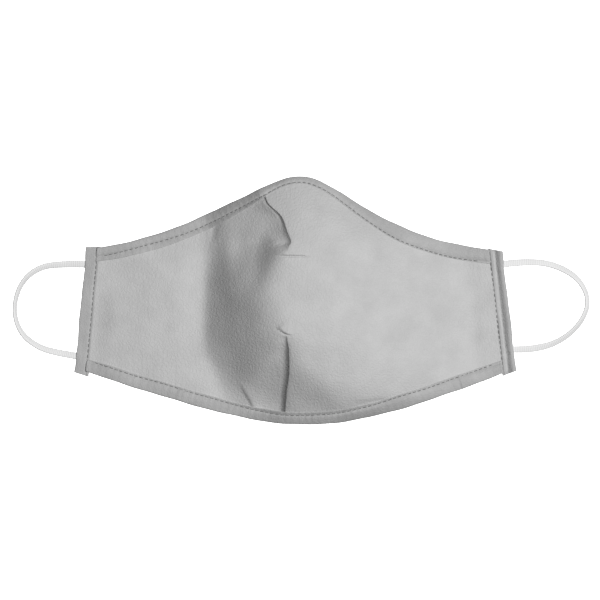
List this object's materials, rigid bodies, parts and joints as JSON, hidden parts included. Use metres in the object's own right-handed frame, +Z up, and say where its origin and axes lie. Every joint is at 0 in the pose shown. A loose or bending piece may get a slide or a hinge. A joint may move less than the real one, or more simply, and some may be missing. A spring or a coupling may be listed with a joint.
{
  "type": "dust mask",
  "caption": "Grey sewn face mask with darted nose and chin, bound edges, side hems and white elastic ear loops, laid face up.",
  "frame": {"origin": "middle of the mask's base, on the surface that it lies on, ear loops left out", "axes": "+Z up from the wearer's side to the outer side, +Y towards the nose edge, +X to the right seen from above"},
  "size_m": [0.319, 0.1366, 0.037],
  "materials": {
    "shell_fabric": "matt, finely pebbled",
    "filter_fabric": "matt melt-blown felt",
    "lining_fabric": "matt, soft",
    "binding_tape": "matt, finely pebbled",
    "casing_fabric": "matt, finely pebbled",
    "thread": "matt polyester thread",
    "elastic": "matt knitted elastic"
  },
  "bodies": {
    "right_half": {"face_panel_right": "shell_fabric", "filter_layer_right": "filter_fabric", "lining_right": "lining_fabric", "top_binding_right": "binding_tape", "top_binding_thread_right": "thread", "bottom_binding_right": "binding_tape", "bottom_binding_thread_right": "thread", "side_casing_right": "casing_fabric", "casing_thread_right": "thread", "ear_loop_ends_right": "elastic"},
    "left_half": {"face_panel_left": "shell_fabric", "filter_layer_left": "filter_fabric", "lining_left": "lining_fabric", "top_binding_left": "binding_tape", "top_binding_thread_left": "thread", "bottom_binding_left": "binding_tape", "bottom_binding_thread_left": "thread", "side_casing_left": "casing_fabric", "casing_thread_left": "thread", "ear_loop_ends_left": "elastic"},
    "left_loop": {"ear_loop_left": "elastic"},
    "right_loop": {"ear_loop_right": "elastic"}
  },
  "joints": [
    {"name": "centre_fold", "type": "hinge", "parent": "right_half", "child": "left_half", "pos_m": [-0.004, 0, 0.01], "axis": [0, -1, 0], "range_deg": [0, 130]},
    {"name": "ear_loop_swing_left", "type": "hinge", "parent": "left_half", "child": "left_loop", "pos_m": [-0.12057, -0.00493, 0.0016], "axis": [0.0911, 0.9958, 0], "range_deg": [-90, 105]},
    {"name": "ear_loop_swing_right", "type": "hinge", "parent": "right_half", "child": "right_loop", "pos_m": [0.11989, -0.00598, 0.0016], "axis": [0.1138, -0.9935, 0], "range_deg": [-90, 105]}
  ]
}
